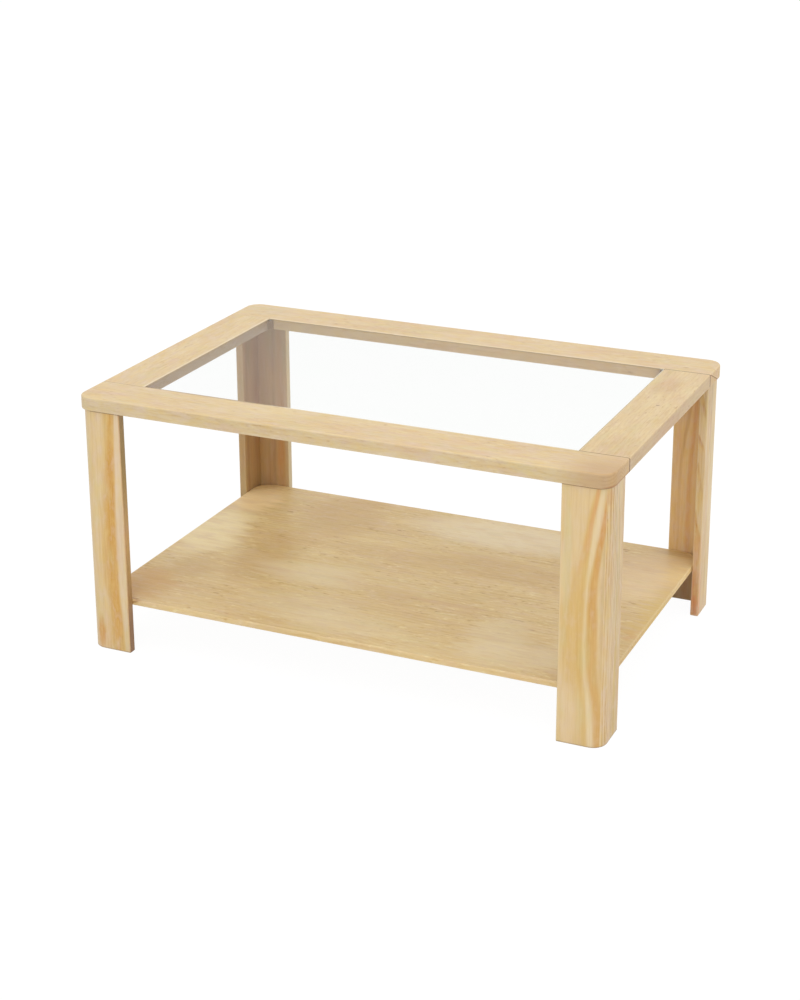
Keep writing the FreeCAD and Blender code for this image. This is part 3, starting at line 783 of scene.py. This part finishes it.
def plastic():
    """Brown moulded plastic of the blocks in the corners of the opening."""
    made, g, output = new_material("brown plastic")
    place = g.node("ShaderNodeTexCoord").outputs["Object"]
    grain = g.noise(place, 5.0, scale=1800.0, detail=3.0, roughness=0.6)
    cloud = g.noise(place, 6.0, scale=160.0)
    g.feed(output.inputs[0], g.shader("BsdfPrincipled", {
        "Base Color": g.blend(cloud, linear(130, 100, 62), linear(146, 114, 72)),
        "Roughness": g.spread(grain, 0.3, 0.7, 0.42, 0.58),
        "Normal": g.bump(grain, 0.3, 0.0001)}))
    return made


dress("glass_pane", glass())
dress("glass_bumpers", silicone())
dress("glass_supports", plastic())


def seen_directly(g):
    """1 for a ray that shows the surface to the eye, straight or by a reflection or through glass."""
    ray = g.node("ShaderNodeLightPath").outputs
    return g.most(g.most(ray["Is Camera Ray"], ray["Is Glossy Ray"]), ray["Is Transmission Ray"])


def make_floor():
    mesh = bpy.data.meshes.new("floor")
    corners = [(x * FLOOR_REACH, y * FLOOR_REACH, 0) for x, y in ((-1, -1), (1, -1), (1, 1), (-1, 1))]
    mesh.from_pydata(corners, [], [(0, 1, 2, 3)])
    floor = bpy.data.objects.new("floor", mesh)
    bpy.context.scene.collection.objects.link(floor)
    made, g, output = new_material("pale floor")
    place = g.node("ShaderNodeTexCoord").outputs["Object"]
    cloud = g.spread(g.noise(place, 2.0, scale=1.4), 0.3, 0.7, 0.0, 1.0)
    plain = tuple(FLOOR_TONE * share for share in (1.0, 0.995, 0.985)) + (1.0,)
    dull = tuple(value * 0.97 for value in plain[:3]) + (1.0,)
    lit = g.shader("BsdfDiffuse", {"Color": g.blend(cloud, plain, dull)})
    shade = g.shader("BsdfDiffuse", {"Color": (FLOOR_SHADE, FLOOR_SHADE, FLOOR_SHADE, 1.0)})
    glow = g.shader("Emission", {"Strength": 1.0 - FLOOR_SHADE * FLOOR_DUSK})
    both = g.fill(g.node("ShaderNodeAddShader"), shade, glow)
    g.feed(output.inputs[0], g.mix(seen_directly(g), lit, both))
    mesh.materials.append(made)


def make_sky():
    world = bpy.data.worlds.new("studio")
    bpy.context.scene.world = world
    world.use_nodes = True
    g = Graph(world.node_tree)
    output = g.node("ShaderNodeOutputWorld")
    strength = g.spread(seen_directly(g), 0.0, 1.0, SKY_LEVEL, 1.0)
    g.feed(output.inputs[0], g.shader("Background", {"Color": (1.0, 1.0, 1.0, 1.0), "Strength": strength}))


def add_lamp(data, place, direction):
    """Hangs a light that isn't mirrored, nor seen through the pane."""
    lamp = bpy.data.objects.new(data.name, data)
    bpy.context.scene.collection.objects.link(lamp)
    lamp.location = place
    lamp.rotation_mode = "QUATERNION"
    lamp.rotation_quaternion = direction.to_track_quat("-Z", "Y")
    lamp.visible_glossy = False
    lamp.visible_transmission = False
    return lamp


def make_lamp(name, place, aim, size, power):
    data = bpy.data.lights.new(name, "AREA")
    data.shape = "RECTANGLE"
    data.size, data.size_y = size
    data.energy = power
    add_lamp(data, place, Vector(aim) - Vector(place)).visible_camera = False


def make_overhead():
    """An even soft light from above, which leans towards the back left."""
    data = bpy.data.lights.new("overhead", "SUN")
    data.energy = OVERHEAD_LEVEL * math.pi
    data.angle = math.radians(OVERHEAD_SPREAD)
    add_lamp(data, (0.4, -0.8, 2.5), Vector((-OVERHEAD_SLOPE, OVERHEAD_SLOPE, -1.0)))


def make_camera():
    forward = Vector((-math.sin(CAMERA_YAW) * math.cos(CAMERA_PITCH),
                      math.cos(CAMERA_YAW) * math.cos(CAMERA_PITCH), -math.sin(CAMERA_PITCH)))
    level = Vector((math.cos(CAMERA_YAW), math.sin(CAMERA_YAW), 0.0))
    upward = level.cross(forward)
    right = math.cos(CAMERA_ROLL) * level + math.sin(CAMERA_ROLL) * upward
    upward = -math.sin(CAMERA_ROLL) * level + math.cos(CAMERA_ROLL) * upward
    turn = Matrix((right, upward, -forward)).transposed()
    data = bpy.data.cameras.new("camera")
    data.sensor_width = SENSOR
    data.lens = FOCAL_PIXELS / IMAGE_HEIGHT * SENSOR
    data.shift_x = (IMAGE_WIDTH / 2 - CENTRE_PIXEL[0]) / IMAGE_HEIGHT
    data.shift_y = (CENTRE_PIXEL[1] - IMAGE_HEIGHT / 2) / IMAGE_HEIGHT
    data.clip_start, data.clip_end = 0.05, 60.0
    camera = bpy.data.objects.new("camera", data)
    camera.location = CAMERA_PLACE
    camera.rotation_mode = "QUATERNION"
    camera.rotation_quaternion = turn.to_quaternion()
    bpy.context.scene.collection.objects.link(camera)
    bpy.context.scene.camera = camera


make_camera()
make_floor()
make_sky()
make_overhead()
make_lamp("front", place=(0.3, -2.5, 1.0), aim=(0.0, 0.0, 0.25), size=(1.8, 1.2), power=FRONT_POWER)
make_lamp("right back", place=(2.4, 1.5, 0.8), aim=(0.2, 0.0, 0.2), size=(1.4, 1.0), power=SIDE_POWER)
bpy.context.scene.view_settings.view_transform = "Standard"
